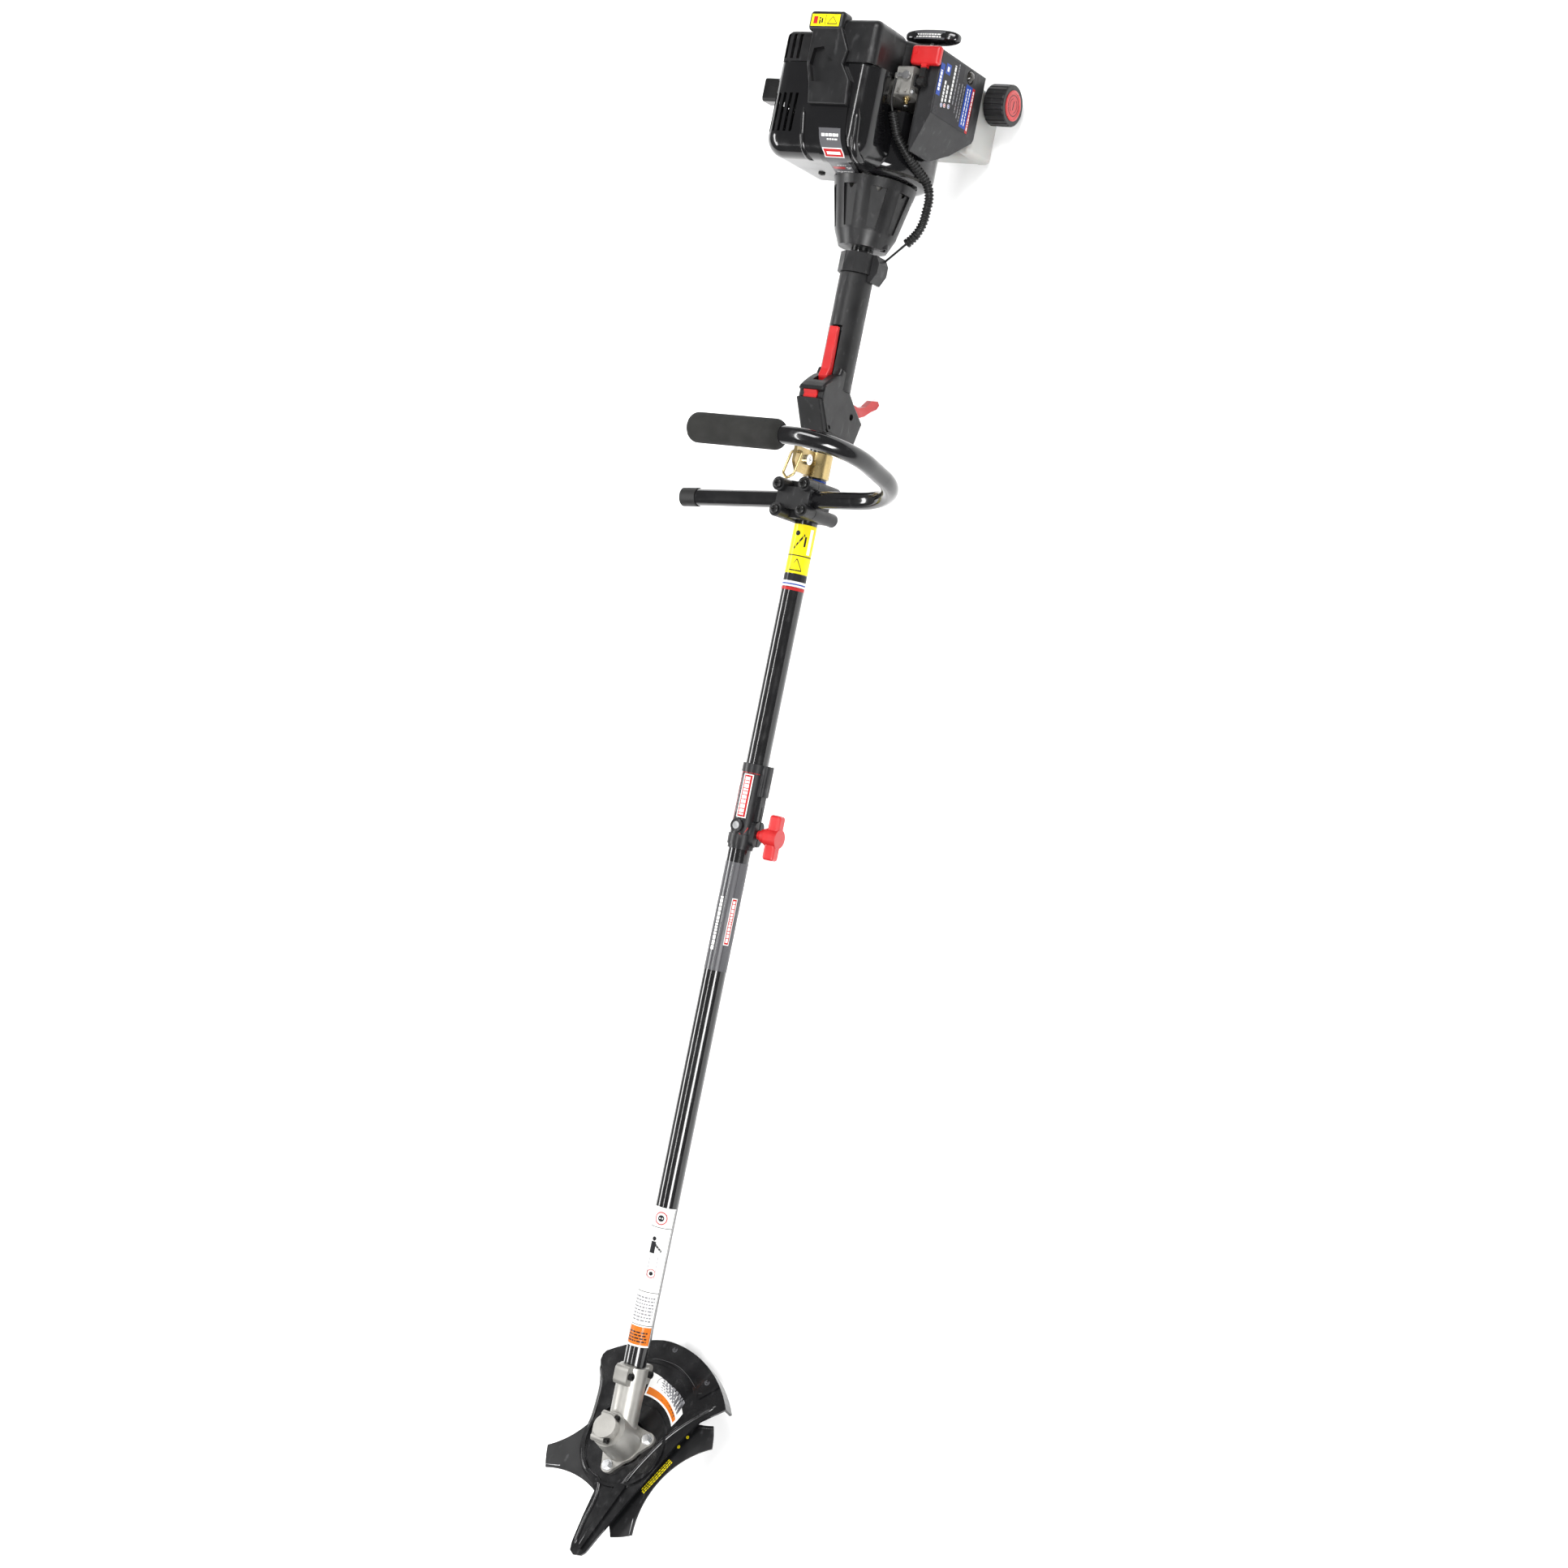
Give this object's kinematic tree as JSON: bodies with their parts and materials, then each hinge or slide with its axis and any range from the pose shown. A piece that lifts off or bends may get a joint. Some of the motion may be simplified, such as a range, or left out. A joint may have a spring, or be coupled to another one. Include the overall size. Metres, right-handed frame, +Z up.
{
  "type": "brush cutter",
  "caption": "Petrol brush cutter with toothed blade, guard, split boom, J-handle, throttle grip and two-stroke engine with recoil starter.",
  "frame": {"origin": "centre of the bounding box in plan, at the lowest point of the fuel tank", "axes": "+X forward along the boom to the blade, +Y to the operator's left, +Z up away from the tank"},
  "size_m": [1.6888, 0.3015, 0.2975],
  "materials": {
    "blade_steel": "satin black paint over steel, ground edges bare",
    "bright_steel": "machined steel",
    "zinc_steel": "bright zinc plate",
    "cast_aluminium": "die cast, lightly blasted",
    "black_screw": "black oxide",
    "guard_plastic": "gloss black moulding",
    "boom_paint": "gloss black powder coat",
    "bushing_plastic": "natural nylon",
    "coupler_metal": "satin black powder coat",
    "red_plastic": "red moulding",
    "handle_paint": "gloss black powder coat",
    "black_rubber": "soft black rubber",
    "grip_foam": "closed cell foam",
    "satin_plastic": "satin black moulding",
    "gold_zinc": "yellow zinc plate",
    "cable_black": "black cable jacket",
    "conduit_black": "corrugated tubing",
    "engine_plastic": "satin black moulding",
    "plug_white": "glazed ceramic",
    "gloss_shroud": "gloss black moulding",
    "dark_steel": "heat darkened steel",
    "grey_plastic": "dark grey moulding",
    "primer_clear": "clear yellowish rubber",
    "tank_white": "translucent white tank",
    "cap_black": "black cap with a red insert",
    "rope_cord": "braided cord"
  },
  "bodies": {
    "frame": {"head_bearings": "bright_steel", "gearbox_left_half": "cast_aluminium", "gearbox_right_half": "cast_aluminium", "gearbox_screws": "black_screw", "guard_bolts": "zinc_steel", "guard": "guard_plastic", "lower_boom_tube": "boom_paint", "upper_boom_tube": "boom_paint", "shaft_bushings": "bushing_plastic", "coupler": "coupler_metal", "j_handle_tube": "handle_paint", "handle_end_cap": "black_rubber", "foam_grip": "grip_foam", "handle_clamp_top": "satin_plastic", "handle_clamp_base": "satin_plastic", "bracket_screws": "zinc_steel", "harness_clamp": "gold_zinc", "grip_left_shell": "satin_plastic", "grip_right_shell": "satin_plastic", "grip_screws": "black_screw", "grip_collar": "satin_plastic", "throttle_cable": "cable_black", "cable_conduit": "conduit_black", "clutch_cover": "engine_plastic", "crankcase": "cast_aluminium", "cylinder": "cast_aluminium", "spark_plug": "plug_white", "engine_shroud": "gloss_shroud", "top_cover": "engine_plastic", "muffler": "dark_steel", "carburetor": "cast_aluminium", "air_box": "engine_plastic", "fuel_tank": "tank_white", "starter_housing": "engine_plastic"},
    "drive_train": {"pinion": "bright_steel", "lower_drive_shaft": "bright_steel", "upper_drive_shaft": "bright_steel", "clutch_drum": "cast_aluminium"},
    "cutter": {"blade": "blade_steel", "blade_adapter": "bright_steel", "blade_nut": "zinc_steel", "spindle": "bright_steel", "bevel_gear": "bright_steel"},
    "crank": {"crankshaft": "bright_steel", "flywheel": "cast_aluminium", "clutch_rotor": "bright_steel"},
    "knob": {"coupler_knob": "red_plastic"},
    "button": {"release_button": "zinc_steel"},
    "loop": {"harness_loop": "gold_zinc"},
    "trigger": {"throttle_trigger": "red_plastic"},
    "throttle": {"throttle_arm": "bright_steel"},
    "lockout": {"lockout_lever": "red_plastic"},
    "switch": {"stop_switch": "red_plastic"},
    "choke": {"choke_lever": "red_plastic"},
    "filter_cover": {"air_cleaner_cover": "grey_plastic"},
    "primer": {"primer_bulb": "primer_clear"},
    "cap": {"fuel_cap": "cap_black"},
    "pull_grip": {"starter_grip": "black_rubber", "starter_rope": "rope_cord"},
    "pulley": {"starter_pulley": "bushing_plastic"}
  },
  "joints": [
    {"name": "drive_spin", "type": "hinge", "parent": "frame", "child": "drive_train", "pos_m": [0.0216, -0.005, 0.098], "axis": [1, 0, 0], "continuous": true},
    {"name": "blade_spin", "type": "hinge", "parent": "frame", "child": "cutter", "pos_m": [0.7216, -0.005, 0.098], "axis": [-0.4602, 0, 0.8878], "continuous": true},
    {"name": "crank_spin", "type": "hinge", "parent": "frame", "child": "crank", "pos_m": [-0.7184, -0.005, 0.098], "axis": [1, 0, 0], "continuous": true},
    {"name": "knob_turn", "type": "hinge", "parent": "frame", "child": "knob", "pos_m": [0.0446, 0.015, 0.098], "axis": [0, 1, 0], "continuous": true},
    {"name": "button_press", "type": "slide", "parent": "frame", "child": "button", "axis": [0, 0, -1], "range_m": [0, 0.002], "stiffness_N_per_m": 900, "springref_m": -0.002},
    {"name": "loop_swing", "type": "hinge", "parent": "frame", "child": "loop", "pos_m": [-0.3699, -0.005, 0.1435], "axis": [0, 1, 0], "range_deg": [-60, 60]},
    {"name": "trigger_pull", "type": "hinge", "parent": "frame", "child": "trigger", "pos_m": [-0.4234, -0.005, 0.0785], "axis": [0, 1, 0], "range_deg": [0, 18], "stiffness_Nm_per_rad": 0.6, "springref_deg": -17.19},
    {"name": "throttle_turn", "type": "hinge", "parent": "frame", "child": "throttle", "pos_m": [-0.7784, 0.051, 0.164], "axis": [0, 0, 1], "range_deg": [0, 40]},
    {"name": "lockout_press", "type": "hinge", "parent": "frame", "child": "lockout", "pos_m": [-0.4574, -0.005, 0.1185], "axis": [0, -1, 0], "range_deg": [0, 4], "stiffness_Nm_per_rad": 1.5, "springref_deg": -11.46},
    {"name": "switch_rock", "type": "hinge", "parent": "frame", "child": "switch", "pos_m": [-0.4344, -0.005, 0.138], "axis": [0, 1, 0], "range_deg": [-6, 6]},
    {"name": "choke_turn", "type": "hinge", "parent": "frame", "child": "choke", "pos_m": [-0.7754, 0.063, 0.154], "axis": [0, 1, 0], "range_deg": [0, 45]},
    {"name": "cover_lift", "type": "slide", "parent": "frame", "child": "filter_cover", "axis": [0, 1, 0], "range_m": [0, 0.06]},
    {"name": "primer_press", "type": "slide", "parent": "frame", "child": "primer", "axis": [0, -1, 0], "range_m": [0, 0.004], "stiffness_N_per_m": 600, "springref_m": -0.001},
    {"name": "cap_off", "type": "slide", "parent": "frame", "child": "cap", "axis": [0, 1, 0], "range_m": [0, 0.04]},
    {"name": "starter_pull", "type": "slide", "parent": "frame", "child": "pull_grip", "axis": [-1, 0, 0], "range_m": [0, 0.35], "stiffness_N_per_m": 12, "springref_m": -0.3},
    {"name": "pulley_turn", "type": "hinge", "parent": "frame", "child": "pulley", "pos_m": [-0.8084, -0.005, 0.098], "axis": [1, 0, 0], "range_deg": [-10, 900]}
  ],
  "couplings": [
    {"joint": "blade_spin", "follows": "drive_spin", "ratio": 0.75},
    {"joint": "throttle_turn", "follows": "trigger_pull", "ratio": 2.2},
    {"joint": "pulley_turn", "follows": "starter_pull", "rad_per_m": 38.462}
  ]
}
